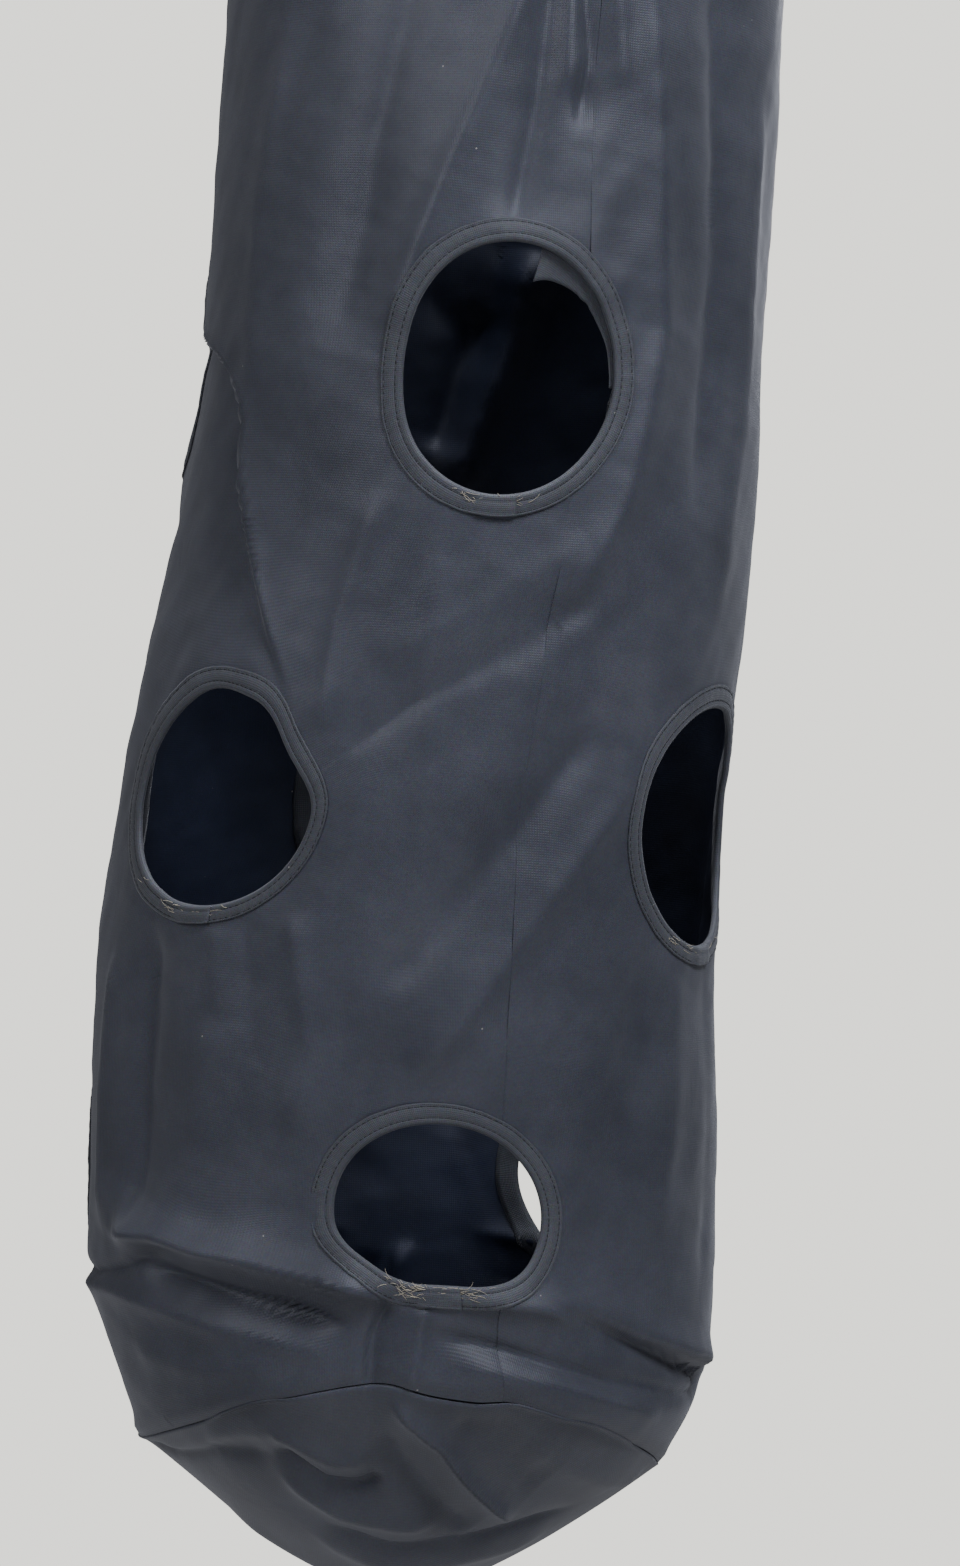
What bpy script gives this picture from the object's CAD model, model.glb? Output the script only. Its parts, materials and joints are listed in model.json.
"""A hanging storage tube in dark coated cloth: the looks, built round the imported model."""
import json
import math

import bmesh
import bpy
import numpy as np
from mathutils import Euler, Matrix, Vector


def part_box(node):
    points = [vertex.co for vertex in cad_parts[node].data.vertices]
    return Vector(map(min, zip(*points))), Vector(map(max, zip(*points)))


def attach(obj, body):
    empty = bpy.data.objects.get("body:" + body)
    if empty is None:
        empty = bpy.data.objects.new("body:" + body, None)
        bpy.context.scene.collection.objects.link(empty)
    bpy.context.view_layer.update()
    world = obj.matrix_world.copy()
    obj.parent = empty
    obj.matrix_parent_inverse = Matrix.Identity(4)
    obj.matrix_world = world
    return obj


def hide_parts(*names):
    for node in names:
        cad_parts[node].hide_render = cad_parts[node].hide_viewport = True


MM = 0.001

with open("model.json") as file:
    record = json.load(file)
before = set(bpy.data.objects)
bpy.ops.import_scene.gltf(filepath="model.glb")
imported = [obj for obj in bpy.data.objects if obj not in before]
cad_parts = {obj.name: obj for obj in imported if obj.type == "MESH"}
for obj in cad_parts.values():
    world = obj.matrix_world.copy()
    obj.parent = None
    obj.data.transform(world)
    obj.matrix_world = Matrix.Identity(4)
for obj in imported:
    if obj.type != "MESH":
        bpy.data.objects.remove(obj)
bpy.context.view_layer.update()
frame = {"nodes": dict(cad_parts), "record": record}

# ---- places and sizes taken from the frame ----
PANEL_NODES = ["right_wall_panel", "back_wall_panel", "left_wall_panel"]
FACING_NODES = [name for name in frame["nodes"] if name.endswith("_hole_facing")]

hem_low, hem_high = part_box("hem_casing")
BASE_Z = min(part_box(name)[0].z for name in PANEL_NODES)
TUBE_LENGTH = max(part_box(name)[1].z for name in PANEL_NODES) - BASE_Z
TUBE_R = (hem_high.x - hem_low.x) / 2
BASE_SAG = BASE_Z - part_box("base_panel")[0].z
SWING = frame["record"]["behaviour"]["joints"][0]
BAR_Z = SWING["pos_m"][2]

DEGREE = math.radians(1) * TUBE_R  # metres of cloth in one degree of turn
CLOTH = 1.2 * MM  # wall cloth with its coating
FACING_W = 12 * MM
FACING_T = 0.8 * MM
SEAM_TURN = 19  # degrees from the front to the first upright seam
PANEL_TURN = 120
SEAM_TURNS = {"front": SEAM_TURN, "right": SEAM_TURN + PANEL_TURN, "left": SEAM_TURN + 2 * PANEL_TURN}
SEAM_GROOVE = 0.2 * MM  # how far the upright seams sink in
EDGE_GROOVE = 2.2 * MM  # and how far the base seam does
STITCH_PITCH = 3.2 * MM
STITCH_LENGTH = 2.5 * MM


def hole_from_box(node):
    """A hole's turn in whole degrees, its height and its radius, from the box of its facing."""
    low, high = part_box(node)
    middle = (low + high) / 2
    turn = round(math.degrees(math.atan2(middle.x, -middle.y)))
    return turn % 360, middle.z - BASE_Z, (high.z - low.z) / 2 - FACING_W


HOLES = {name: hole_from_box(name) for name in FACING_NODES}
HOLE_R = next(iter(HOLES.values()))[2]
row_heights = sorted({round(height, 4) for _, height, _ in HOLES.values()})
ROW_PITCH = (row_heights[-1] - row_heights[0]) / 2


# ---- numpy helpers ----
def smooth(x):
    """3x^2 - 2x^3, with x held between 0 and 1."""
    x = np.clip(x, 0, 1)
    return x * x * (3 - 2 * x)


def signed(turn):
    """A turn in degrees as -180 to 180."""
    return (turn + 180) % 360 - 180


def unit(vectors):
    """Each vector divided by its length."""
    return vectors / np.maximum(np.linalg.norm(vectors, axis=-1, keepdims=True), 1e-12)


def run_of(points):
    """The length of a line of points, up to each one."""
    return np.concatenate([[0], np.cumsum(np.linalg.norm(np.diff(points, axis=0), axis=1))])


def flat_map(across, along):
    """Rows of (across, along) cloth coordinates, one for each vertex."""
    return np.stack(np.broadcast_arrays(across, along), -1).reshape(-1, 2)


def curve_through(x, points):
    """A smooth curve through (position, value) points: each stretch is a smoothed step."""
    at = np.array([p[0] for p in points], float)
    value = np.array([p[1] for p in points], float)
    k = np.clip(np.searchsorted(at, x) - 1, 0, len(at) - 2)
    slope = np.gradient(value, at)
    width = at[k + 1] - at[k]
    t = np.clip((x - at[k]) / width, 0, 1)
    rest = 1 - t
    ends = value[k] * rest**2 * (1 + 2 * t) + value[k + 1] * t**2 * (3 - 2 * t)
    return ends + width * t * rest * (slope[k] * rest - slope[k + 1] * t)


def noise(x, y, seed):
    """Smooth noise: sine waves in random directions, in three octaves, each half the size of the last."""
    draw = np.random.default_rng(seed)
    total = np.zeros(np.broadcast(x, y).shape)
    for octave in range(3):
        for _ in range(4):
            heading, phase = draw.uniform(0, 2 * math.pi, 2)
            pitch = 2**octave * draw.uniform(0.7, 1.4)
            total += np.sin(pitch * (x * math.cos(heading) + y * math.sin(heading)) + phase) / 2**octave
    return total / 4


# ---- how the wall cloth hangs ----
# Where the hanging tube's left and right edges stand, by height in mm: slack cloth, so not alike.
LEFT_EDGE = [(0, -122), (30, -135), (64, -149), (100, -151), (160, -153.6), (240, -155), (317, -148),
             (400, -137), (480, -127), (540, -125), (689, -126), (760, -135), (820, -140)]
RIGHT_EDGE = [(0, 132), (34, 150.5), (90, 151), (160, 146.5), (240, 139.5), (317, 138), (400, 143),
              (480, 143.5), (540, 142), (689, 140.5), (760, 141), (820, 140)]
# How far the base seam rises above its ends, by degrees from the front, in mm.
EDGE_RISE = [(-180, 30), (-120, 7), (-78, -7), (-54, 5), (-43, 13), (-27, 27), (-12, 32.5), (-4, 31),
             (5, 26.5), (14, 26.5), (21, 29.5), (35, 27), (62, 9), (92, -6), (120, 7), (180, 30)]
# How far the folds draw in the radius of the wall's foot, by height in mm.
DRAWN_IN = [(0, 16.5), (24, 8), (60, 2), (100, 0), (820, 0)]


def outline(height, points):
    """Straight stretches between (height, place) points in mm, with their corners just rounded."""
    at, place = np.array(points, float).T
    return sum(np.interp(height + shift, at, place) for shift in (-7, -3.5, 0, 3.5, 7)) / 5


def edge_height(turn):
    """Height of the base seam at a turn in degrees."""
    return curve_through(signed(turn), EDGE_RISE) * MM


def crease(x, y, line, width, depth, lean):
    """
    A fold along a line of points: depth times a peak that falls away exponentially with the distance
    to the nearest stretch, just rounded at its tip. Left of the line it is lean times as wide, and it
    fades over its first and last parts. x, y and the line are in metres on the flat.
    """
    best = np.full(x.shape, np.inf)
    side = np.zeros(x.shape)
    run = np.zeros(x.shape)
    starts, steps = line[:-1], np.diff(line, axis=0)
    lengths = np.hypot(*steps.T)
    before = np.concatenate([[0], np.cumsum(lengths)])
    for (x_0, y_0), (step_x, step_y), length, gone in zip(starts, steps, lengths, before):
        t = np.clip(((x - x_0) * step_x + (y - y_0) * step_y) / length**2, 0, 1)
        off_x, off_y = x - x_0 - t * step_x, y - y_0 - t * step_y
        away = np.hypot(off_x, off_y)
        nearer = away < best
        best = np.where(nearer, away, best)
        side = np.where(nearer, step_x * off_y - step_y * off_x, side)
        run = np.where(nearer, gone + t * length, run)
    wide = np.where(side > 0, width * MM * lean, width * MM)
    share = run / before[-1]
    fade = smooth(np.minimum(share, 1 - share) * 5 + 0.25)
    return depth * MM * fade * np.exp(0.3 - np.sqrt((best / wide) ** 2 * 1.7 + 0.09))


# Folds in the wall. Each row is a half width and a depth in mm (minus is a valley), how many times
# wider the fold is on the left of its line, then the line's points, as turn in degrees and height in mm.
WALL_FOLDS = [
    # the tuck at the front below the strap, and the bands that fan from it
    (3.5, -4.5, 1.8, 15, 700, 16, 660, 17.5, 638, 16, 606),
    (5, 3, 2.4, 12, 700, 12.5, 654, 13, 620),
    (5, 3, 1.4, 20, 700, 22, 665, 24, 626),
    (10, -6, 1.2, 9, 720, 9, 662, 8, 617, 4, 556),
    (10, 5.5, 1.3, 3, 700, 3, 660, -4, 610, -13, 550, -20, 500),
    (14, -4, 1.2, -16, 700, -24, 600, -30, 500),
    (14, 3, 1.2, -44, 700, -52, 560, -50, 470),
    (12, 6, 1.4, 27, 700, 32, 610, 36, 522, 30, 440, 22, 392),
    (13, -5, 1.3, 46, 700, 52, 560, 50, 440),
    (12, 3.5, 1.2, 66, 640, 64, 480, 60, 400),
    # bands across the middle of the front
    (13, -3.5, 0.45, 29, 402, 14, 373, -4, 345, -14, 322),
    (15, 2.5, 1.2, 24, 424, 8, 394, -12, 362),
    (15, -5, 0.6, 33, 345, 19, 290, 1, 232, -6, 214),
    (14, 4, 0.7, 45, 330, 28, 272, 12, 212, 2, 180),
    (4, 1.6, 1.2, -4.5, 430, -3, 380, 0, 320, 3, 259),
    (8, 3, 1.3, -16, 440, -20, 380, -19, 330),
    (7, -1.5, 1.3, -30, 248, -28, 204, -26, 176),
    (6, 1.2, 1.3, -36, 240, -34, 198),
    (9, 3, 1.3, -20, 250, -16, 190, -20, 150),
    (12, -2, 1.3, 48, 235, 42, 180, 40, 130),
    (12, 2, 1.2, 58, 236, 57, 170, 52, 110),
    (12, -1.5, 1.2, 72, 236, 74, 150, 70, 80),
    # the left flank above its corner: a long hollow beside a ridge
    (10, -7, 1.6, -52, 240, -53, 204, -54, 167, -54, 131, -56, 96),
    (10, 1.5, 1.6, -36, 200, -38, 150, -40, 108),
    (9, 4, 1.2, -66, 225, -68, 160, -68, 92),
    # under the lowest front hole: an overhanging fold from the left corner to a pinch
    (3.2, -5, 1, -96, 69, -73, 70, -57.5, 78, -46.5, 91, -38, 90),
    (5, 13, 3, -62, 92, -46, 94, -35, 91, -27, 90, -12, 84, 0, 79),
    (7, -10, 0.8, -52, 82, -38, 78, -22, 73, -8, 67),
    (5, 3.5, 1.4, -88, 62, -65, 66, -49, 63, -33.5, 58, -21, 54, -11, 51),
    (8, 2.5, 1.3, -60, 40, -40, 36, -22, 44),
    (2.4, -4.5, 2.2, -1, 80, -4, 62, -6, 38),
    (6, 3, 0.8, 5, 78, 4, 58, 1, 36),
    # and two folds out to the right corner, with a band between them
    (5.5, -9, 0.8, 28, 78, 43.5, 65, 63, 49, 94, 33),
    (4.5, 7, 2.6, 10, 81, 26, 78, 43, 66, 84, 44),
    (5, -4.5, 0.8, 4, 66, 17.5, 60, 39.5, 46, 63.5, 36, 90, 30),
    (6, 3, 1.2, 10, 50, 30, 42, 60, 24),
    # the back: the same slack cloth under the same pull
    (10, -6, 1.6, 150, 700, 158, 640, 168, 560),
    (10, 5, 1.3, 170, 700, 176, 620, 182, 520),
    (11, 5, 1.3, 205, 700, 198, 620, 190, 540),
    (10, -5, 1.5, 222, 690, 216, 600, 214, 520),
    (10, -7, 0.6, 236, 470, 220, 410, 206, 350),
    (9, 5, 1.4, 220, 470, 208, 420, 196, 366),
    (10, -7, 1.7, 146, 430, 160, 360, 172, 300),
    (9, 5, 1.4, 164, 440, 172, 380, 178, 330),
    (12, -13, 1.3, 170, 590, 173, 545, 179, 505, 186, 460),
    (8, 6, 1.3, 182, 560, 186, 520, 190, 480),
    (8, -5, 1.4, 176, 236, 186, 180, 196, 120),
    (8, 4, 1.4, 160, 230, 166, 180, 172, 130),
    (10, 5, 1.3, 110, 640, 120, 560, 128, 470),
    (10, -5, 1.4, 96, 560, 102, 490, 106, 420),
    (10, 5, 1.3, 100, 360, 108, 280, 112, 200),
    (10, 5, 1.3, 255, 620, 260, 520, 262, 420),
    (10, -6, 1.4, 262, 380, 258, 300, 254, 220),
    (4, -6, 1.4, 96, 50, 120, 60, 150, 82, 166, 84),
    (5, 6, 1.6, 98, 44, 130, 50, 162, 62),
    (4, -6, 1.4, 266, 64, 240, 66, 206, 84, 194, 82),
    (5, 6, 1.6, 262, 56, 232, 56, 198, 66),
    (2.6, -7, 1.6, 180, 76, 182, 54, 183, 30),
    (3, 4.5, 1.4, 187, 70, 189, 50, 190, 32),
]
# A pleat at the left: a front layer ends along this line, and the cloth behind it stands further in.
PLEAT_EDGE = [(340, -26), (358, -30.5), (385, -37.5), (435, -48.5), (506, -69.5), (516, -80), (560, -118)]
PLEAT_DEPTH = 8 * MM


def pleat(turn, height):
    """A step inwards on the left of the pleat's edge, with a raised lip, fading out above and below."""
    edge = curve_through(height / MM, PLEAT_EDGE)
    past = (edge - signed(turn)) * DEGREE
    window = smooth((height / MM - 335) / 90) * smooth((524 - height / MM) / 14)
    step = smooth(past / (6 * MM) + 0.5) * np.exp(-np.maximum(0, past) / (75 * MM))
    lip = np.exp(-np.sqrt(((past + 3.5 * MM) / (3.5 * MM)) ** 2 + 0.05))
    return window * (2.4 * MM * lip - PLEAT_DEPTH * step)


# How each front hole is pulled out of round: stretch across, stretch upright, shift right, shift up.
HOLE_PULL = {
    "upper_front_hole_facing": (-0.09, 0.01, 6, -2),
    "middle_left_hole_facing": (-0.04, -0.13, 23, -12),
    "middle_right_hole_facing": (0.0, 0.0, -6, -9),
    "middle_back_hole_facing": (-0.24, 0.05, -12, -4),
    "lower_front_hole_facing": (-0.2, -0.27, 3, 0),
    "lower_right_hole_facing": (0.16, -0.12, 14, -2),
    "lower_left_hole_facing": (0.0, -0.12, 0, -2),
}
PULL_REACH = 115 * MM
# Where folds push a hole's rim: centre (turn, height), reach, shift right, shift up, all but turn in mm.
RIM_NUDGES = [
    ((-36, 102), 32, 0, -7),
    ((46, 78), 28, 0, -6),
    ((-30, 342), 40, -5, -5),
    ((-58, 348), 40, 6, 5),
    ((-26, 512), 60, 3, 0),
    ((6, 62), 60, 0, 9),
    ((-14, 74), 40, 3, 5),
    ((88, 330), 44, -5, -2),
]


def pulled(turn, height):
    """Where a point of the flat cloth goes round each pulled hole: a stretch that fades with distance."""
    new_turn, new_height = turn.copy(), height.copy()
    for name, (wide, tall, right, up) in HOLE_PULL.items():
        hole_turn, hole_height, radius = HOLES[name]
        x = signed(turn - hole_turn) * DEGREE
        y = height - hole_height
        away = np.hypot(x, y)
        near = smooth((PULL_REACH - away) / (PULL_REACH - radius * 0.9))
        new_turn += near * (wide * x + right * MM) / DEGREE
        new_height += near * (tall * y + up * MM)
    for (at_turn, at_height), reach, right, up in RIM_NUDGES:
        away = np.hypot(signed(turn - at_turn) * DEGREE, height - at_height * MM)
        near = smooth(1 - away / (reach * MM))
        new_turn += near * right * MM / DEGREE
        new_height += near * up * MM
    return new_turn, new_height


def hang(turn, height):
    """
    The wall in space: an oval section with the cloth's own girth at each height, pushed in and out
    along its normal by the folds. turn is in degrees from the front, and height is up from the base
    seam's ends.
    """
    turn, height = np.broadcast_arrays(np.asarray(turn, float), np.asarray(height, float))
    at_turn, at_height = pulled(turn, height)
    mm = at_height / MM
    left, right = outline(mm, LEFT_EDGE) * MM, outline(mm, RIGHT_EDGE) * MM
    half_width = (right - left) / 2
    girth_r = TUBE_R - curve_through(mm, DRAWN_IN) * MM
    half_depth = np.sqrt(np.maximum(2 * girth_r**2 - half_width**2, (0.5 * TUBE_R) ** 2))
    angle = np.radians(at_turn)
    out_x, out_y = np.sin(angle) / half_width, -np.cos(angle) / half_depth
    size = np.hypot(out_x, out_y)
    out_x, out_y = out_x / size, out_y / size
    away = pleat(at_turn, at_height)
    for width, depth, lean, first, *line in WALL_FOLDS:
        flat = (np.reshape([first, *line], (-1, 2)) - [first, 0]) * [DEGREE, MM]
        away = away + crease(signed(at_turn - first) * DEGREE, at_height, flat, width, depth, lean)
    calm = smooth((TUBE_LENGTH - height - 30 * MM) / (60 * MM))
    away = away + 0.9 * MM * calm * noise(angle * 9, at_height * 60, 3)
    away = away + 0.35 * MM * calm * noise(angle * 20, at_height * 140, 5)
    for seam in SEAM_TURNS.values():
        away = away - SEAM_GROOVE * np.exp(-((signed(turn - seam) * DEGREE / (2 * MM)) ** 2))
    from_edge = height - edge_height(turn)
    away = away - EDGE_GROOVE * np.exp(-((from_edge / (2 * MM)) ** 2))
    x = (left + right) / 2 + half_width * np.sin(angle) + out_x * away
    y = -half_depth * np.cos(angle) + out_y * away
    return np.stack([x, y, BASE_Z + at_height], -1)


def hang_off(turn, height, offset):
    """A point on the cloth moved out along its true normal: the cross product of two short steps."""
    here = hang(turn, height)
    small = 0.5 * MM
    right = hang(np.asarray(turn) + math.degrees(small / TUBE_R), height) - here
    up = hang(turn, np.asarray(height) + small) - here
    return here + unit(np.cross(right, up)) * np.asarray(offset)[..., None]


# ---- meshes ----
def make_object(name, verts, faces, material, uv=None, body="tube", replaces=()):
    """A named piece from vertex and face arrays, riding on its body. uv has one row for each vertex."""
    mesh = bpy.data.meshes.new(name)
    mesh.from_pydata(np.asarray(verts).tolist(), [], faces if isinstance(faces, list) else faces.tolist())
    mesh.update()
    mesh.polygons.foreach_set("use_smooth", np.ones(len(mesh.polygons), bool))
    if uv is not None:
        layer = mesh.uv_layers.new(name="cloth")
        loops = np.zeros(len(mesh.loops), np.int32)
        mesh.loops.foreach_get("vertex_index", loops)
        layer.data.foreach_set("uv", np.asarray(uv, np.float32)[loops].ravel())
    mesh.materials.append(material)
    piece = bpy.data.objects.new(name, mesh)
    bpy.context.collection.objects.link(piece)
    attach(piece, body)
    if replaces:
        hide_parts(*replaces)
    return piece


def grid_faces(rows, columns, wrap_rows=False, wrap_columns=False):
    """Quads of a grid of rows by columns points, numbered along each row."""
    i = np.arange(rows if wrap_rows else rows - 1)
    j = np.arange(columns if wrap_columns else columns - 1)
    i, j = [a.ravel() for a in np.meshgrid(i, j, indexing="ij")]
    i2, j2 = (i + 1) % rows, (j + 1) % columns
    return np.stack([i * columns + j, i * columns + j2, i2 * columns + j2, i2 * columns + j], -1)


def sharpen_rim(piece):
    """Marks a sheet's open edges sharp: the edges with one face each, counted from the face corners."""
    mesh = piece.data
    edge = np.empty(len(mesh.loops), dtype=np.int32)
    mesh.loops.foreach_get("edge_index", edge)
    sharp = mesh.attributes.new("sharp_edge", "BOOLEAN", "EDGE")
    sharp.data.foreach_set("value", np.bincount(edge, minlength=len(mesh.edges)) == 1)


def solidify(piece, thickness, offset=-1.0):
    """Gives a sheet its thickness: inwards from its face at offset -1, half each way at 0."""
    thick = piece.modifiers.new("thickness", "SOLIDIFY")
    thick.thickness = thickness
    thick.offset = offset
    thick.use_even_offset = False
    if len(piece.data.materials) > 1:
        thick.material_offset = 1


def sweep(name, sections, material, closed_path=False, uv=None, **more):
    """
    A solid carried along a path: sections is (stop, corner, xyz), each section a closed loop. Its ends
    are capped, and it is turned right side out by the sign of its volume.
    """
    stops, corners = sections.shape[:2]
    faces = grid_faces(stops, corners, wrap_rows=closed_path, wrap_columns=True)
    points = sections.reshape(-1, 3)
    tips = points[faces] - points.mean(0)
    volume = sum(np.einsum("ij,ij->", tips[:, 0], np.cross(tips[:, k], tips[:, k + 1])) for k in (1, 2))
    caps = [list(range(corners))[::-1], list(range((stops - 1) * corners, stops * corners))]
    faces = faces.tolist() + ([] if closed_path else caps)
    if volume < 0:
        faces = [face[::-1] for face in faces]
    return make_object(name, points, faces, material, uv=uv, **more)


def ribbon(line, thickness):
    """A closed section from a centre line of (x, y) points: the line moved half a thickness each way."""
    line = np.asarray(line, float)
    along = np.gradient(line, axis=0)
    side = np.stack([-along[:, 1], along[:, 0]], -1) / np.hypot(*along.T)[:, None] * thickness / 2
    return np.concatenate([line + side, (line - side)[::-1]])


def stitches(name, start, end, up):
    """A run of stitches: each is a short bar from its start to its end, narrower on top, half sunk in."""
    along = end - start
    length = np.linalg.norm(along, axis=-1, keepdims=True)
    side = np.cross(along / length, up) * 0.36 * MM
    low, high = up * -0.1 * MM, up * 0.26 * MM
    ring = [start - side + low, start + side + low, start + side * 0.5 + high, start - side * 0.5 + high]
    ring += [p + along for p in ring]
    middle = (start + end) / 2 + up * 0.34 * MM
    points = np.stack(ring + [middle], 1).reshape(-1, 3)
    bar = np.array([(0, 1, 2, 3), (7, 6, 5, 4), (4, 5, 1, 0), (5, 6, 2, 1), (7, 4, 0, 3)])
    top = np.array([(3, 2, 8), (6, 7, 8), (2, 6, 8), (7, 3, 8)])
    first = (np.arange(len(start)) * 9)[:, None, None]
    faces = (bar[None] + first).reshape(-1, 4).tolist() + (top[None] + first).reshape(-1, 3).tolist()
    make_object(name, points, faces, dark_thread)


# ---- materials ----
def linear(hex_colour):
    """An sRGB hex colour as the linear colour that a shader takes."""
    parts = [int(hex_colour[i : i + 2], 16) / 255 for i in (1, 3, 5)]
    return [p / 12.92 if p <= 0.04045 else ((p + 0.055) / 1.055) ** 2.4 for p in parts] + [1.0]


def add(tree, kind, settings=(), **links):
    """Adds a shader node. settings are its properties or input values, and links join its inputs."""
    node = tree.nodes.new("ShaderNode" + kind)
    for name, value in dict(settings).items():
        if isinstance(name, int) or name in node.inputs:
            node.inputs[name].default_value = value
        else:
            setattr(node, name, value)
    for name, socket in links.items():
        key = int(name[2:]) if name.startswith("at") else name.replace("_", " ")
        tree.links.new(socket, node.inputs[key])
    return node


def new_material(name, **shader):
    """A material with values set on its shader's own sockets."""
    material = bpy.data.materials.new(name)
    material.use_nodes = True
    bsdf = material.node_tree.nodes["Principled BSDF"]
    for key, value in shader.items():
        bsdf.inputs[key.replace("_", " ")].default_value = value
    return material, material.node_tree, bsdf


def ramp(tree, factor, stops):
    """A colour ramp from (position, hex colour) stops."""
    node = add(tree, "ValToRGB", Fac=factor)
    elements = node.color_ramp.elements
    while len(elements) < len(stops):
        elements.new(0.5)
    for element, (position, colour) in zip(elements, stops):
        element.position = position
        element.color = linear(colour)
    return node.outputs["Color"]


def woven(name, dark, light, worn, thread, roughness, lint, bump, sheen=0.15, specular=0.4):
    """
    Woven cloth: two crossed sets of threads on the cloth's own UV map in metres, and on object
    coordinates patches 77 mm wide, crumples of 26 mm, 1 mm grain and pale lint 4 mm apart or more.
    thread is the drawn thread pitch. A wave node of scale 1 repeats every 0.314 m.
    """
    material, tree, bsdf = new_material(
        name, Sheen_Weight=sheen, Sheen_Roughness=0.5, Specular_IOR_Level=specular
    )
    uv = add(tree, "UVMap", {"uv_map": "cloth"}).outputs["UV"]
    point = add(tree, "TexCoord").outputs["Object"]
    warp = add(tree, "TexWave", {"bands_direction": "X", "Scale": 0.314 / thread}, Vector=uv)
    weft = add(tree, "TexWave", {"bands_direction": "Y", "Scale": 0.314 / thread}, Vector=uv)
    weave = add(tree, "Math", {"operation": "MULTIPLY"}, at0=warp.outputs["Fac"], at1=weft.outputs["Fac"])
    patches = add(tree, "TexNoise", {"Scale": 13.0, "Detail": 6.0, "Roughness": 0.65}, Vector=point)
    grain = add(tree, "TexNoise", {"Scale": 900.0, "Detail": 2.0}, Vector=point)
    base = ramp(tree, patches.outputs["Fac"], [(0.32, dark), (0.55, light), (0.78, worn)])
    grained = add(
        tree, "Mix", {"data_type": "RGBA", "blend_type": "SOFT_LIGHT", "Factor": 0.5},
        at6=base, at7=grain.outputs["Color"],
    )
    specks = add(tree, "TexVoronoi", {"feature": "F1", "Scale": 230.0}, Vector=point)
    near = add(tree, "Math", {"operation": "LESS_THAN", 1: 0.1}, at0=specks.outputs["Distance"])
    chance = add(tree, "SeparateColor", at0=specks.outputs["Color"])
    few = add(tree, "Math", {"operation": "LESS_THAN", 1: lint}, at0=chance.outputs[0])
    speck = add(tree, "Math", {"operation": "MULTIPLY"}, at0=near.outputs[0], at1=few.outputs[0])
    colour = add(
        tree, "Mix", {"data_type": "RGBA", 7: linear("#807d76")},
        Factor=speck.outputs[0], at6=grained.outputs[2],
    )
    tree.links.new(colour.outputs[2], bsdf.inputs["Base Color"])
    rough = add(
        tree, "MapRange", {"To Min": roughness - 0.07, "To Max": roughness + 0.08},
        Value=patches.outputs["Fac"],
    )
    tree.links.new(rough.outputs[0], bsdf.inputs["Roughness"])
    height = add(
        tree, "Math", {"operation": "MULTIPLY_ADD", 1: 0.4},
        at0=grain.outputs["Fac"], at2=weave.outputs[0],
    )
    relief = add(tree, "Bump", {"Strength": bump, "Distance": thread * 0.35}, Height=height.outputs[0])
    crumple = add(tree, "TexNoise", {"Scale": 38.0, "Detail": 5.0, "Distortion": 0.8}, Vector=point)
    soft = add(
        tree, "Bump", {"Strength": 0.35, "Distance": 1.2 * MM},
        Height=crumple.outputs["Fac"], Normal=relief.outputs[0],
    )
    tree.links.new(soft.outputs[0], bsdf.inputs["Normal"])
    return material


def plain(name, colour, roughness, metallic=0.0, scale=400.0, bump=0.1, **more):
    """A moulded or plated surface with fine grain in its roughness and relief."""
    material, tree, bsdf = new_material(name, Metallic=metallic, Base_Color=linear(colour), **more)
    point = add(tree, "TexCoord").outputs["Object"]
    grain = add(tree, "TexNoise", {"Scale": scale, "Detail": 4.0}, Vector=point)
    rough = add(
        tree, "MapRange", {"To Min": roughness * 0.75, "To Max": roughness * 1.25},
        Value=grain.outputs["Fac"],
    )
    tree.links.new(rough.outputs[0], bsdf.inputs["Roughness"])
    relief = add(tree, "Bump", {"Strength": bump, "Distance": 0.0002}, Height=grain.outputs["Fac"])
    tree.links.new(relief.outputs[0], bsdf.inputs["Normal"])
    return material


# Coated plain weave in dyed polyester: its smooth face gives a cool, low gloss along the folds, with
# the threads just showing through. They are really 0.4 mm apart, and are drawn at 1.1 mm to show.
coated_cloth = woven(
    "coated_woven_cloth", "#2a2c33", "#36383f", "#43444b", 1.1 * MM, 0.5, 0.006, 0.2, specular=0.34
)
# The same cloth cut on the bias and folded: duller and a little paler, its threads raised and dusty.
facing_cloth = woven("bias_facing_cloth", "#2f3135", "#393b3f", "#454649", 0.9 * MM, 0.6, 0.03, 0.5)
# The uncoated side of the wall cloth: bluer and matt, so the inside looks deep and soft-edged.
cloth_back = woven(
    "uncoated_dyed_cloth", "#171c2a", "#1f2536", "#282e3f", 1.1 * MM, 0.55, 0.004, 0.2, sheen=0.0
)
# Raw seam turnings in the same cloth: matt, dark and a little fuzzy with lint.
lining_cloth = woven("uncoated_woven_cloth", "#1d1f25", "#24262c", "#2b2d32", 0.9 * MM, 0.75, 0.02, 0.4)
# Polypropylene webbing: coarse ribs that read as fine bands across a near-black strap.
webbing = woven("woven_webbing", "#1b1c20", "#222429", "#2c2d31", 1.6 * MM, 0.72, 0.03, 0.8)
# Spun polyester sewing thread: black, matt dashes that sink a little into the cloth.
dark_thread = plain("spun_polyester_thread", "#0e0f12", 0.6, scale=2500)
# Frayed undyed thread ends: dull straw-coloured hairs against the dark cloth.
pale_thread = plain("frayed_undyed_thread", "#a89f8a", 0.8, scale=2500)
# Nickel-plated steel wire: bright and slightly warm, its sharp reflections just blurred by handling.
nickel_plate = plain("nickel_plated_wire", "#c4c4c0", 0.24, metallic=1.0, scale=250, bump=0.05)
# Extruded polyethylene strip: near-black with a waxy half-gloss.
hoop_plastic = plain("extruded_plastic_strip", "#1a1b1d", 0.45, scale=600)


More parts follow.
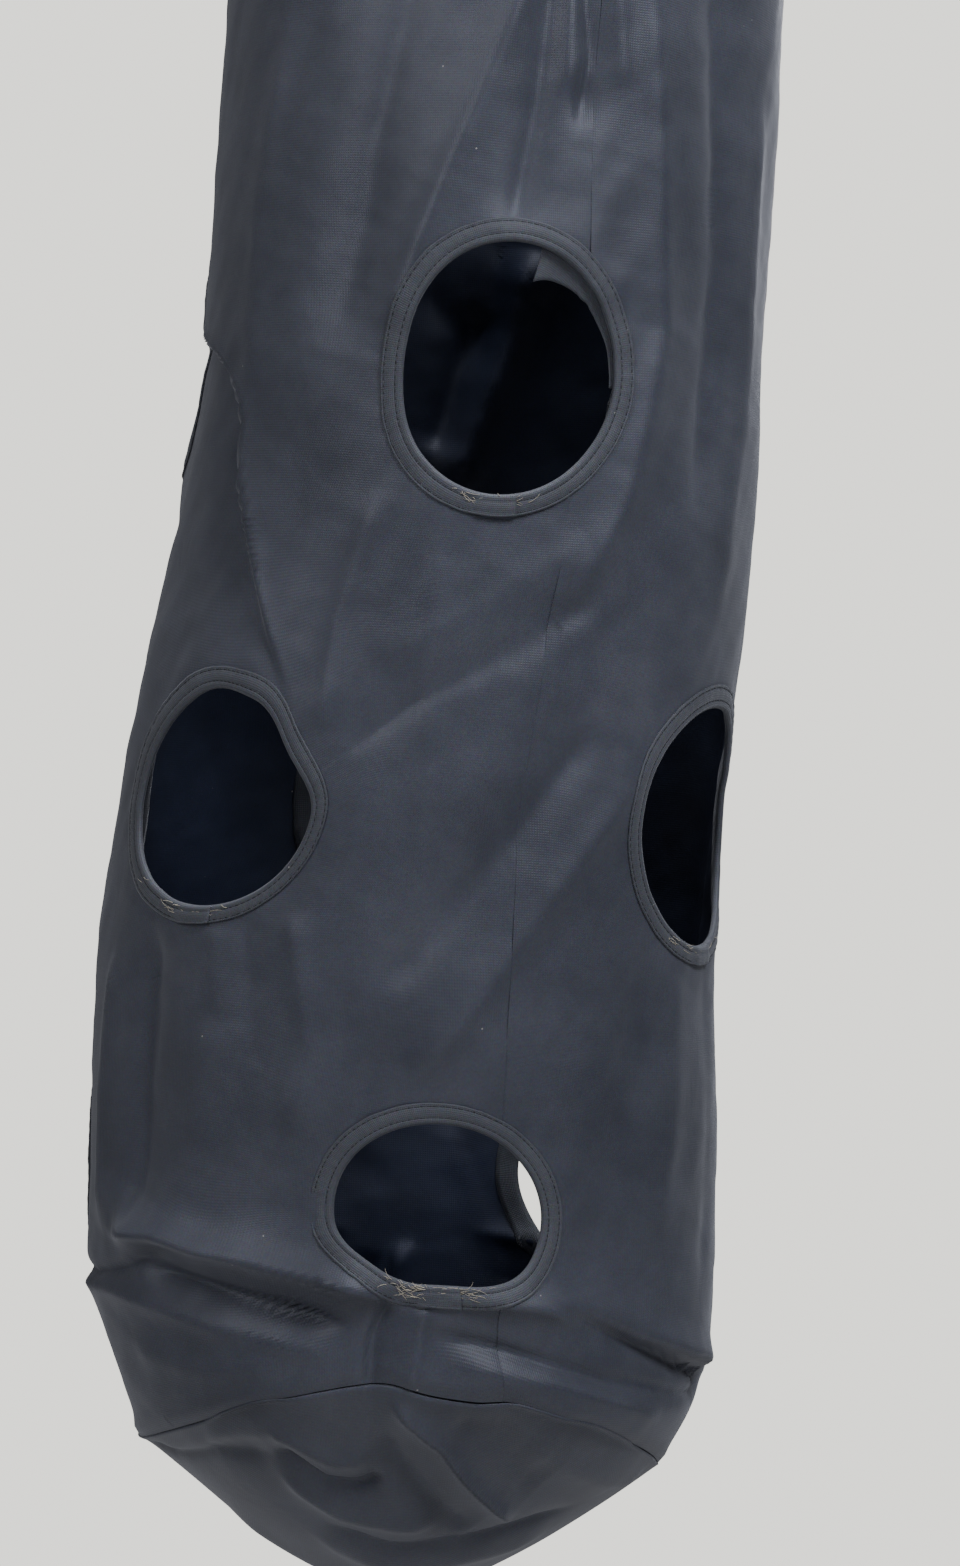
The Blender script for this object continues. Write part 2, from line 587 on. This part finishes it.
# ---- wall panels ----
BOUNDARY_STEP = 1  # degrees between points round the edge of a hole's cell
CELL_TURN = 60  # half a cell's width, in degrees
UPRIGHT_STEPS = 76
RING_STEPS = 30


def cell(turn, height, low_edge):
    """
    The flat cloth round one hole, as (turn, height) points: straight lines from the round hole to the
    cell's edge, closer together near the hole. The cell's foot follows the base seam in the lowest row.
    """
    across = np.arange(-CELL_TURN, CELL_TURN, BOUNDARY_STEP, dtype=float)
    top = np.stack([across[::-1] + BOUNDARY_STEP, np.full(across.shape, 1.0)], -1)
    foot = np.stack([across, np.full(across.shape, -1.0)], -1)
    up = np.linspace(-1, 1, UPRIGHT_STEPS + 1)[:-1]
    right = np.stack([np.full(up.shape, float(CELL_TURN)), up], -1)
    left = np.stack([np.full(up.shape, -float(CELL_TURN)), -up], -1)
    edge = np.concatenate([foot, right, top, left])
    edge_turn = turn + edge[:, 0]
    low = edge_height(edge_turn) if low_edge else np.full(len(edge), height - ROW_PITCH / 2)
    high = height + ROW_PITCH / 2
    edge_h = low + (high - low) * (edge[:, 1] + 1) / 2
    angle = np.arctan2(edge_h - height, edge[:, 0] * DEGREE)
    circle_turn = turn + HOLE_R * np.cos(angle) / DEGREE
    circle_h = height + HOLE_R * np.sin(angle)
    t = (np.linspace(0, 1, RING_STEPS + 1) ** 1.35)[:, None]
    flat_turn = circle_turn + (edge_turn - circle_turn) * t
    flat_h = circle_h + (edge_h - circle_h) * t
    faces = grid_faces(RING_STEPS + 1, len(edge), wrap_columns=True)[:, ::-1]
    return np.stack([flat_turn.ravel(), flat_h.ravel()], -1), faces


def flat_wall():
    """The whole wall as flat cloth: nine hole cells, and a plain band above them."""
    points, faces, count = [], [], 0
    for name, (turn, height, _) in HOLES.items():
        cell_points, cell_faces = cell(turn, height, name.startswith("lower"))
        points.append(cell_points)
        faces.append(cell_faces + count)
        count += len(cell_points)
    top_of_cells = max(height for _, height, _ in HOLES.values()) + ROW_PITCH / 2
    turns = np.arange(0, 361, BOUNDARY_STEP, dtype=float)
    heights = np.linspace(top_of_cells, TUBE_LENGTH, 70)
    band_h, band_turn = np.meshgrid(heights, turns, indexing="ij")
    points.append(np.stack([band_turn.ravel(), band_h.ravel()], -1))
    faces.append(grid_faces(len(heights), len(turns)) + count)
    return np.concatenate(points), np.concatenate(faces)


def cut_at_seams(points, faces):
    """Cuts the flat cloth along each upright seam, and returns its new points and faces."""
    sheet = bmesh.new()
    flat = bpy.data.meshes.new("flat")
    flat.from_pydata([(t, h, 0.0) for t, h in points.tolist()], [], faces.tolist())
    sheet.from_mesh(flat)
    for seam in range(SEAM_TURN - 2 * PANEL_TURN, SEAM_TURN + 4 * PANEL_TURN, PANEL_TURN):
        geometry = sheet.verts[:] + sheet.edges[:] + sheet.faces[:]
        bmesh.ops.bisect_plane(sheet, geom=geometry, dist=1e-6, plane_co=(seam, 0, 0), plane_no=(1, 0, 0))
    sheet.verts.index_update()
    new_points = np.array([v.co[:2] for v in sheet.verts])
    new_faces = [[v.index for v in f.verts] for f in sheet.faces]
    sheet.free()
    bpy.data.meshes.remove(flat)
    return new_points, new_faces


def wall_panels():
    """Three panels: the faces between two seams, joined where cells meet, then hung."""
    points, faces = cut_at_seams(*flat_wall())
    middles = np.array([points[f, 0].mean() for f in faces])
    panel_of = np.floor((middles - SEAM_TURN) / PANEL_TURN).astype(int) % 3
    panels = []
    for k, (node, seam) in enumerate(zip(PANEL_NODES, SEAM_TURNS.values())):
        mine = [faces[i] for i in np.flatnonzero(panel_of == k)]
        corner = np.concatenate(mine)
        turn = seam + (points[corner, 0] - seam + 0.001) % 360 - 0.001
        keys = np.stack([np.round(turn, 3), np.round(points[corner, 1] / MM, 2)], -1)
        unique, first, index = np.unique(keys, axis=0, return_index=True, return_inverse=True)
        index = index.ravel()
        sizes = np.cumsum([0] + [len(f) for f in mine])
        panel_faces = [index[a:b].tolist() for a, b in zip(sizes[:-1], sizes[1:])]
        flat_turn, flat_h = turn[first], points[corner[first], 1]
        uv = flat_map(flat_turn * DEGREE, flat_h)
        name = node.replace("_panel", "")
        panel = make_object(name, hang(flat_turn, flat_h), panel_faces, coated_cloth, uv, replaces=[node])
        panel.data.materials.append(cloth_back)
        sharpen_rim(panel)
        solidify(panel, CLOTH)
        panels.append(panel)
    return panels


panels = wall_panels()


# ---- base ----
V_POWER = 1.6  # how sharp the V is at its foot: 1 is a plain V
U_POWER = 1.8
SEAM_RISE = 40 * MM  # how high the U stands at the middle of the seam
BELLY = 1.07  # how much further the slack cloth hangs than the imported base
SEAM_GAP = 0.8 * MM  # the dark crack between wall and base, with the turnings behind it
# Folds in the base, in the same rows, with points that are mm to the right and mm to the front.
BASE_FOLDS = [
    # a ridge from the seam's peak to a pointed facet, with a hollow on its left
    (3.5, 6, 1, -6, 121, 19, 106, 49, 70, 54, 60),
    (8, -5.5, 1, -10, 110, 6, 96, 36, 64),
    (10, -3, 1.2, 24, 116, 46, 100, 66, 74),
    # a pocket with a lip, left of the middle, and the long creases that run out of it
    (3.6, -6, 1, -56, 90, -44, 88, -33, 85, -19, 87, -6, 93),
    (4.5, 3.5, 1.2, -60, 98, -44, 97, -28, 95, -12, 99),
    (4.5, 3.5, 1.6, -54, 80, -40, 76, -24, 73, -4, 74, 20, 72),
    (5, -4, 1.6, -122, 18, -85, 72, -56, 88),
    (7, 3, 1.4, -112, 40, -82, 84, -54, 101),
    (4, -4, 1, -30, 66, -6, 62, 24, 60, 50, 56, 80, 46),
    (8, 3, 1.4, -40, 56, -6, 50, 34, 46, 72, 34),
    (8, 3, 1.4, 60, 98, 90, 62, 114, 24),
    (9, 2.5, 1.4, -80, 20, -30, 26, 40, 20),
    (6, 5, 1.4, -6, -116, -26, -84, -52, -56),
    (6, -5, 1.4, 10, -114, 28, -84, 54, -60),
    (6, 4, 1.4, -96, -44, -60, -62, -20, -66),
    (6, -4, 1.4, 96, -46, 60, -58, 20, -60),
]


def base_height(x, y, rim_x, rim_y):
    """
    How far a point of the base is above the seam's ends: along the left-to-right fold it hangs in a
    rounded V, and across it in a U up to the seam.
    """
    along = np.clip(np.abs(x) / rim_x, 0, 1)
    chord = rim_y * np.sqrt(1 - np.minimum(along, 0.9999) ** 2)
    across = np.clip(np.abs(y) / chord, 0, 1)
    fold = -BASE_SAG * BELLY * (1 - along**V_POWER)
    edge = SEAM_RISE * (1 - along**2)
    return fold + (edge - fold) * across**U_POWER


def base_cloth():
    """Rings that shrink from the seam to the middle, with the folds pushed into them from below."""
    shares = np.linspace(0, 1, 90)[1:]
    turns = np.arange(0, 360, 0.75)
    rim = hang(turns, edge_height(turns) - SEAM_GAP)
    middle = np.array([rim[:, 0].mean(), 0.0])
    rim_xy = rim[:, :2] - middle
    half_x, half_y = np.abs(rim_xy).max(0)
    share = shares[:, None]
    x, y = rim_xy[None, :, 0] * share, rim_xy[None, :, 1] * share
    z = base_height(x, y, half_x, half_y)
    miss = rim[:, 2] - BASE_Z - z[-1]
    z = z + miss * share**6
    push = np.zeros(x.shape)
    for width, depth, lean, *line in BASE_FOLDS:
        push += crease(x, -y, np.reshape(line, (-1, 2)) * MM, width, depth, lean)
    fade = smooth((1 - share) / 0.07)
    rough = 0.5 * MM * noise(x * 60, y * 60, 11)
    surface = np.stack([middle[0] + x, y, BASE_Z + z], -1)
    outwards = np.gradient(surface, axis=0)
    around = np.roll(surface, -1, 1) - np.roll(surface, 1, 1)
    normal = unit(np.cross(outwards, around))
    normal *= np.where(normal[..., 2:] > 0, -1, 1)
    points = (surface + normal * ((push + rough) * fade)[..., None]).reshape(-1, 3)
    points = np.concatenate([points, [[middle[0], 0, BASE_Z - BASE_SAG * BELLY]]])
    rings, columns = len(shares), len(turns)
    faces = grid_faces(rings, columns, wrap_columns=True).tolist()
    centre = rings * columns
    faces += [[centre, j, (j + 1) % columns] for j in range(columns)]
    angle = np.radians(turns)
    uv = flat_map(TUBE_R * share * np.sin(angle), -TUBE_R * share * np.cos(angle))
    uv = np.concatenate([uv, [[0, 0]]])
    return points, faces, uv


points, faces, uv = base_cloth()
base = make_object("base_cloth", points, faces, coated_cloth, uv, replaces=["base_panel"])
base.data.materials.append(cloth_back)
solidify(base, CLOTH)


# ---- facings round the holes ----
# The binding's centre line: distance out from the hole's edge, and out from the cloth's face, in mm.
BINDING_LINE = [(8.8, 0.5), (8.2, 0.55), (7.4, 0.28), (6.6, 0.6), (5, 0.85), (3.4, 0.8), (2.7, 0.62),
                (2.1, 0.4), (1.5, 0.66), (0.3, 0.75), (-0.7, 0.2), (-1.1, -0.6), (-0.7, -1.4),
                (0.4, -1.85), (3, -1.95), (8, -1.85), (11.5, -1.8)]
START_TURN = -96  # where the binding starts, in degrees from the hole's right
OVERLAP_TURN = 17  # degrees that one end of the binding passes over the other, at the hole's foot
ROUND_STEPS = 260


def round_hole(hole, angle, out, proud):
    """A point round a hole: angle in radians from the right, out from its edge, proud of the cloth."""
    turn, height, radius = hole
    flat = radius + out
    at_turn = turn + flat * np.cos(angle) / DEGREE
    return hang_off(at_turn, height + flat * np.sin(angle), proud)


def binding(node, seed):
    """A strip folded over the hole's edge, its outer edge puckered, lifted where its ends overlap."""
    hole = HOLES[node]
    start = math.radians(START_TURN)
    place = node.replace("_hole_facing", "")
    angle = start + np.linspace(0, math.radians(360 + OVERLAP_TURN), ROUND_STEPS)[:, None]
    section = ribbon(BINDING_LINE, 0.8)[None] * MM
    lift = 1.0 * MM * smooth((angle - start - math.radians(356)) / math.radians(6))
    outer = smooth(section[..., 1] / MM + 0.5)
    wobble = noise(angle * 14, angle * 0, seed) * 0.3 * MM
    pucker = np.sin(angle * 61 + 2 * noise(angle * 5, angle * 0, seed + 1)) * 0.16 * MM
    out = section[..., 0] + wobble * smooth(section[..., 0] / FACING_W)
    proud = section[..., 1] + (lift + pucker * section[..., 0] / FACING_W) * outer
    proud = proud - 0.5 * lift * (1 - outer)
    sections = round_hole(hole, angle, out, proud)
    run = (angle[:, 0] - start) * hole[2]
    uv = flat_map(run_of(section[0]), run[:, None])
    piece = sweep(f"{place}_binding", sections, facing_cloth, uv=uv, replaces=[node])
    for row, out_mm, proud_mm in (("outer", 7.4, 0.58), ("inner", 2.1, 0.72)):
        radius = hole[2] + out_mm * MM
        count = int(2 * math.pi * radius / STITCH_PITCH)
        at = start + np.arange(count) * 2 * math.pi / count
        half = STITCH_LENGTH / 2 / radius
        low = round_hole(hole, at - half, out_mm * MM, proud_mm * MM)
        high = round_hole(hole, at + half, out_mm * MM, proud_mm * MM)
        up = round_hole(hole, at, out_mm * MM, (proud_mm + 1) * MM) - (low + high) / 2
        stitches(f"{place}_{row}_stitches", low, high, unit(up))


for seed, node in enumerate(HOLES):
    binding(node, 100 + seed)


def loose_end():
    """
    The binding's loose inner end at the upper front hole: a strip that lies inside the right rim and
    stands further into the opening, by the square of its place, up to its square cut end.
    """
    hole = HOLES["upper_front_hole_facing"]
    along = np.linspace(0, 1, 80)[:, None]
    across = np.linspace(0, 1, 10)[None]
    angle = np.radians(-4 + 80 * along)
    reach = (2 + 14 * along**2) * MM
    out = 5 * MM - (5 * MM + reach) * across
    proud = -(2.7 + (1.5 + 2.5 * along) * across + 0.3 * np.sin(along * 19) * across) * MM
    points = round_hole(hole, angle, out, proud).reshape(-1, 3)
    flat = flat_map(out, angle * hole[2])
    faces = grid_faces(80, 10)
    strip = make_object("upper_front_binding_loose_end", points, faces, facing_cloth, uv=flat)
    solidify(strip, FACING_T, 0.0)


loose_end()


THREAD_STOPS = 8  # sections along one loose thread, each a triangle
THREAD_POINTS = 3 * THREAD_STOPS


def frayed_threads(place, spread, count, seed):
    """Loose threads at a binding's ends: thin bent tubes that start round the foot of a hole."""
    node = f"{place}_hole_facing"
    draw = np.random.default_rng(seed)
    steps = np.linspace(0, 1, THREAD_STOPS)[None, :]
    angle = np.radians(-94 + draw.normal(0, spread, (count, 1)))
    out = draw.uniform(-0.4, 4.5, (count, 1)) * MM
    length = draw.uniform(2, 10, (count, 1)) * MM
    heading = draw.uniform(-0.3, 0.3, (count, 1)) + math.pi * (draw.random((count, 1)) < 0.5)
    bend = draw.uniform(-0.8, 0.8, (count, 1))
    swing = heading + bend * steps
    along = np.cumsum(np.cos(swing), 1) * length / THREAD_STOPS
    up = np.cumsum(np.sin(swing), 1) * length / THREAD_STOPS
    radius = HOLES[node][2] + out
    proud = (1.3 + draw.uniform(0, 0.8, (count, 1)) * np.sin(steps * math.pi)) * MM
    centre = round_hole(HOLES[node], angle + along / radius, out + up, proud)
    direction = unit(np.gradient(centre, axis=1))
    side = unit(np.cross(direction, [0.1, -1.0, 0.15]))
    other = np.cross(direction, side)
    thick = 0.15 * MM * (1 - 0.5 * steps)[..., None]
    corners = [centre + thick * (side * math.cos(a) + other * math.sin(a)) for a in (0, 2.09, 4.19)]
    points = np.stack(corners, 2).reshape(-1, 3)
    tube = grid_faces(THREAD_STOPS, 3, wrap_columns=True)
    first = (np.arange(count) * THREAD_POINTS)[:, None]
    faces = (tube[None] + first[..., None]).reshape(-1, 4).tolist()
    faces += (first + [2, 1, 0]).tolist()
    faces += (first + THREAD_POINTS - [3, 2, 1]).tolist()
    make_object(f"{place}_frayed_threads", points, faces, pale_thread)


for place, spread, count, seed in [
    ("lower_front", 14, 90, 21), ("upper_front", 9, 16, 22), ("middle_left", 16, 22, 23),
    ("middle_right", 16, 22, 24), ("lower_right", 12, 16, 30), ("lower_left", 12, 16, 31),
    ("middle_back", 12, 16, 32), ("upper_right", 12, 16, 33), ("upper_left", 12, 16, 34),
]:
    frayed_threads(place, spread, count, seed)


# ---- seam turnings inside the wall ----


def seam_turnings():
    """
    Each upright seam's two turnings, laid open: a flat strip with a groove down its middle. At its
    foot it steps in by a smooth 1.5 mm, to pass over the base seam's turnings.
    """
    across = np.array([-6, -4, -1.2, 0, 1.2, 4, 6.0])
    depth = np.array([1.75, 1.7, 1.7, 1.85, 1.7, 1.7, 1.75])
    top, under = np.stack([across, -depth], -1), np.stack([across, -depth - 0.8], -1)[::-1]
    section = np.concatenate([top, under])[None] * MM
    for k, (side, seam) in enumerate(SEAM_TURNS.items()):
        edge = float(edge_height(seam))
        for stretch in ("lower", "middle", "upper"):
            node = f"{side}_seam_allowance_{stretch}"
            low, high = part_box(node)
            count = max(10, int((high.z - low.z) / (4 * MM)))
            ends = [low.z - BASE_Z, high.z - BASE_Z - 3 * MM]
            ends[0] = edge + MM if stretch == "lower" else ends[0] + 3 * MM
            height = np.linspace(*ends, count)[:, None]
            step_in = 1.5 * MM * smooth((edge + 13 * MM - height) / (3 * MM))
            turn = seam + np.degrees(section[..., 0] / TUBE_R)
            turn = turn + np.degrees(noise(height * 120, height * 0, 50 + k) * 0.5 * MM / TUBE_R)
            sections = hang_off(turn, height, section[..., 1] - step_in)
            uv = flat_map(section[..., 0], height)
            name = f"{side}_seam_turnings_{stretch}"
            piece = sweep(name, sections, lining_cloth, uv=uv, replaces=[node])


seam_turnings()


def ring_round_wall(name, profile, node, material, follow_edge=False):
    """A closed profile of (distance inwards, height) points in mm, carried once round the wall."""
    profile = np.asarray(profile, float)[None] * MM
    turn = np.arange(360.0)[:, None]
    height = profile[..., 1] + (edge_height(turn) if follow_edge else 0 * turn)
    sections = hang_off(turn, height, -profile[..., 0])
    uv = flat_map(np.radians(turn) * TUBE_R, run_of(profile[0]))
    piece = sweep(name, sections, material, closed_path=True, uv=uv, replaces=[node])
    return piece


turnings = ring_round_wall(
    "base_seam_turnings", ribbon([(2.2, -0.6), (2.0, 3), (2.1, 5.5), (2.3, 8.2)], 0.8),
    "base_seam_allowance", lining_cloth, follow_edge=True,
)

# ---- hem and hoop at the mouth ----
TOP = TUBE_LENGTH / MM
HEM_LINE = [(2.3, TOP - 29.5), (2.3, TOP - 24), (2.7, TOP - 19), (4.0, TOP - 16), (4.8, TOP - 13),
            (4.9, TOP - 6), (4.8, TOP - 1.5), (4.3, TOP + 0.1), (3.4, TOP + 0.75), (2, TOP + 0.85),
            (1.0, TOP + 0.75)]
hem = ring_round_wall("hem", ribbon(HEM_LINE, 1.0), "hem_casing", facing_cloth)
HOOP_PROFILE = [(4.0, TOP - 13.6), (4.0, TOP - 6.4), (3.6, TOP - 6), (1.9, TOP - 6), (1.5, TOP - 6.4),
                (1.5, TOP - 13.6), (1.9, TOP - 14), (3.6, TOP - 14)]
ring_round_wall("mouth_hoop_strip", HOOP_PROFILE, "mouth_hoop", hoop_plastic)
for row, height in enumerate((TOP - 28, TOP - 17)):
    count = int(2 * math.pi * TUBE_R / STITCH_PITCH)
    at = np.arange(count) * 360 / count
    half = math.degrees(STITCH_LENGTH / 2 / TUBE_R)
    low, high = hang(at - half, height * MM), hang(at + half, height * MM)
    stitches(f"hem_stitches_{row + 1}", low, high, unit(hang_off(at, height * MM, MM) - (low + high) / 2))

# ---- webbing straps ----
STRAP_PITCH = 16.5 * MM
PLY = 0.75 * MM  # from the middle of two sewn plies to the middle of one
ring_low, ring_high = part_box("d_ring")
WIRE_R = BAR_Z - ring_low.z
WRAP_R = WIRE_R + 0.9 * MM  # the middle of a ply wrapped round the bar
TAIL_FOOT_Z = BAR_Z - 40 * MM
BOX_HALF = 5.5 * MM  # half the width of each sewn box and cross
HEM_TOP_Z = hem_high.z


def along_line(points, step):
    """Points every step along a line through points, by straight interpolation on its length."""
    points = np.asarray(points, float)
    run = run_of(points)
    at = np.linspace(0, run[-1], max(2, int(round(run[-1] / step)) + 1))
    return np.stack([np.interp(at, run, points[:, k]) for k in range(points.shape[1])], -1), at


def eased(line, reach):
    """The line with its corners rounded: a moving average over reach points, its ends kept."""
    longer = np.concatenate([np.repeat(line[:1], reach, 0), line, np.repeat(line[-1:], reach, 0)])
    total = np.cumsum(np.concatenate([np.zeros((1, line.shape[1])), longer]), 0)
    width = 2 * reach + 1
    mean = (total[width:] - total[:-width]) / width
    mean[0], mean[-1] = line[0], line[-1]
    return mean


def strap(side, turn, place):
    """
    A flat strip: up the tail, round the D-ring's bar in a circle, down sewn to the tail, straight out
    to the hem, over it, and down the outside of the wall. Its width turns smoothly from the bar's
    direction to the wall's.
    """
    outwards = np.array([math.sin(math.radians(turn)), -math.cos(math.radians(turn)), 0])
    tangent = np.array([math.cos(math.radians(turn)), math.sin(math.radians(turn)), 0])
    tangent *= np.sign(tangent[0])
    facing = np.sign(outwards[1])
    x = place * STRAP_PITCH
    meet = BAR_Z - 3 * WRAP_R
    stops = [(x, -facing * PLY, TAIL_FOOT_Z), (x, -facing * PLY, meet)]
    for angle in np.radians(np.linspace(-12, 192, 40)):
        stops.append((x, -facing * WRAP_R * math.cos(angle), BAR_Z + WRAP_R * math.sin(angle)))
    stops += [(x, facing * PLY, meet), (x, facing * PLY, TAIL_FOOT_Z)]
    before_run = len(stops)
    edge = hang(turn, TUBE_LENGTH)
    fold = edge + outwards * 0.9 * MM
    stops.append((fold[0], fold[1], HEM_TOP_Z + 0.9 * MM))
    for height in np.linspace(TUBE_LENGTH - 3 * MM, TUBE_LENGTH - 45 * MM, 8):
        stops.append(tuple(hang(turn, height) + outwards * PLY))
    turned = [0.0] * before_run + [1.0] * (len(stops) - before_run)
    line, run = along_line(np.column_stack([stops, turned]), 0.5 * MM)
    line = eased(line, 3)[::2]
    run = run[::2]
    share = smooth(line[:, 3:4])
    across = np.array([1.0, 0, 0]) * (1 - share) + tangent * share
    direction = unit(np.gradient(line[:, :3], axis=0))
    across = unit(across - direction * (across * direction).sum(-1, keepdims=True))
    up = np.cross(direction, across)
    wide = np.array([-7.5, -7.3, -6.6, -3.3, 0, 3.3, 6.6, 7.3, 7.5]) * MM
    half = np.array([0.25, 0.5, 0.6, 0.57, 0.6, 0.57, 0.6, 0.5, 0.25]) * MM
    section = np.concatenate([np.stack([wide, half], -1), np.stack([wide, -half], -1)[::-1]])
    sections = line[:, None, :3] + across[:, None] * section[:, :1] + up[:, None] * section[:, 1:]
    uv = flat_map(section[:, 0], run[:, None])
    piece = sweep(f"{side}_webbing", sections, webbing, uv=uv, replaces=[f"{side}_strap"])

    out = up * np.sign((up[-1] * outwards).sum())
    total = run[-1]
    for label, first, last in (("wall", total - 42 * MM, total - 5 * MM), ("tail", 4 * MM, 24 * MM)):
        corners = [(-BOX_HALF, first), (BOX_HALF, first), (BOX_HALF, last), (-BOX_HALF, last)]
        path = np.array([corners[i] for i in (0, 1, 2, 3, 0, 2, 1, 3)])  # round the box, then across it
        start, end = [], []
        for a, b in zip(path[:-1], path[1:]):
            count = max(1, int(np.hypot(*(b - a)) / (3.0 * MM)))
            t = np.arange(count)[:, None] / count
            start.append(a + (b - a) * (t + 0.1 / count))
            end.append(a + (b - a) * (t + 0.85 / count))
        start, end = np.concatenate(start), np.concatenate(end)
        sign = 1 if label == "wall" else -1

        def place_at(flat):
            spot = np.stack([np.interp(flat[:, 1], run, line[:, k]) for k in range(3)], -1)
            width = np.stack([np.interp(flat[:, 1], run, across[:, k]) for k in range(3)], -1)
            lift = np.stack([np.interp(flat[:, 1], run, out[:, k]) for k in range(3)], -1)
            if label == "tail":
                lift = np.broadcast_to([0.0, -facing, 0.0], lift.shape)
            return spot + width * flat[:, :1] + lift * 0.6 * MM, lift

        a, lift = place_at(start)
        b, _ = place_at(end)
        stitches(f"{side}_strap_{label}_stitches", a, b, lift)


for (side, seam), place in zip(SEAM_TURNS.items(), (0, 1, -1)):
    strap(side, seam, place)


# ---- D-ring ----
def d_ring():
    """Round wire carried along a half circle, two rounded corners and a straight bar."""
    radius = (ring_high.x - ring_low.x) / 2 - WIRE_R
    corner = 4 * MM
    centre = WIRE_R - radius
    corner_z = BAR_Z + corner
    arc = np.linspace(0, math.pi, 120)
    bend = np.linspace(0, math.pi / 2, 16)
    bar = radius - corner
    points = np.concatenate([
        np.stack([radius * np.cos(arc), centre + radius * np.sin(arc)], -1),
        np.stack([-bar - corner * np.cos(bend), corner_z - corner * np.sin(bend)], -1),
        np.stack([np.linspace(-bar, bar, 40)[1:-1], np.full(38, BAR_Z)], -1),
        np.stack([bar + corner * np.sin(bend), corner_z - corner * np.cos(bend)], -1),
    ])
    along = np.roll(points, -1, 0) - np.roll(points, 1, 0)
    along /= np.hypot(*along.T)[:, None]
    side = np.stack([along[:, 1], -along[:, 0]], -1)
    turns = np.linspace(0, 2 * math.pi, 20, endpoint=False)
    flat = points[:, None] + WIRE_R * side[:, None] * np.cos(turns)[None, :, None]
    depth = np.broadcast_to(WIRE_R * np.sin(turns), flat.shape[:2])
    sections = np.stack([flat[..., 0], depth, flat[..., 1]], -1)
    piece = sweep(
        "d_ring_wire", sections, nickel_plate, closed_path=True, body="ring", replaces=["d_ring"]
    )


d_ring()


# ---- the camera, the light and the room ----
IMAGE_HEIGHT = 752 * MM  # height of the view at the tube's middle
CAMERA_AWAY = 1.9
CAMERA_ROLL = 4.1
VIEW_X = 21.6 * MM
VIEW_H = 313 * MM  # above the base seam's ends


def set_camera():
    """A camera level with the tube's lower half, looking straight to the back and rolled a little."""
    data = bpy.data.cameras.new("camera")
    data.sensor_width = 36
    data.lens = 36 * CAMERA_AWAY / IMAGE_HEIGHT
    camera = bpy.data.objects.new("camera", data)
    camera.location = (VIEW_X, -CAMERA_AWAY, BASE_Z + VIEW_H)
    level = Euler((math.radians(90), 0, 0)).to_matrix()
    camera.rotation_euler = (level @ Euler((0, 0, math.radians(CAMERA_ROLL))).to_matrix()).to_euler()
    bpy.context.collection.objects.link(camera)
    bpy.context.scene.camera = camera


def area_light(name, place, aim, size, power, colour):
    """A soft rectangular light, in watts, at a place and turned to its aim."""
    data = bpy.data.lights.new(name, "AREA")
    data.shape = "RECTANGLE"
    data.size, data.size_y = size
    data.energy = power
    data.color = linear(colour)[:3]
    lamp = bpy.data.objects.new(name, data)
    lamp.location = place
    lamp.rotation_euler = (Vector(aim) - Vector(place)).to_track_quat("-Z", "Y").to_euler()
    bpy.context.collection.objects.link(lamp)


def set_room():
    """A pale floor well below the hanging base, a pale sky all round, and five soft lights."""
    bpy.ops.mesh.primitive_plane_add(size=7, location=(0, 0, BASE_Z - 1.4))
    floor = bpy.context.object
    floor.name = "floor"
    # Painted screed: pale, matt and even, so it only catches a faint soft shadow.
    floor.data.materials.append(plain("painted_floor", "#cfcdc7", 0.8, scale=60, bump=0.02))
    world = bpy.data.worlds.new("room")
    world.use_nodes = True
    tree = world.node_tree
    soft = tree.nodes["Background"]
    soft.inputs[0].default_value = linear("#d9dce4")
    soft.inputs[1].default_value = 0.22
    seen = add(tree, "Background", {"Color": linear("#c9c8c2"), "Strength": 2.75})
    ray = add(tree, "LightPath")
    both = add(
        tree, "MixShader", Fac=ray.outputs["Is Camera Ray"],
        at1=soft.outputs[0], at2=seen.outputs[0],
    )
    tree.links.new(both.outputs[0], tree.nodes["World Output"].inputs["Surface"])
    bpy.context.scene.world = world
    aim = (0, 0, BASE_Z + 0.35)
    area_light("window", (1.0, -1.6, BASE_Z + 2.0), aim, (0.8, 1.0), 66, "#e8ecfb")
    area_light("front_fill", (-1.6, -1.8, BASE_Z + 1.6), aim, (1.0, 1.2), 36, "#eceefa")
    area_light("low_fill", (0.4, -1.6, BASE_Z - 0.6), (0, 0, BASE_Z), (1.4, 0.8), 6, "#e9ecff")
    area_light("behind", (0.4, 2.2, BASE_Z + 1.4), aim, (1.2, 1.2), 18, "#eef0fb")
    area_light("over_mouth", (0.1, 0.1, BASE_Z + 2.2), (0, 0, BASE_Z), (0.6, 0.6), 60, "#eef2ff")


set_camera()
set_room()
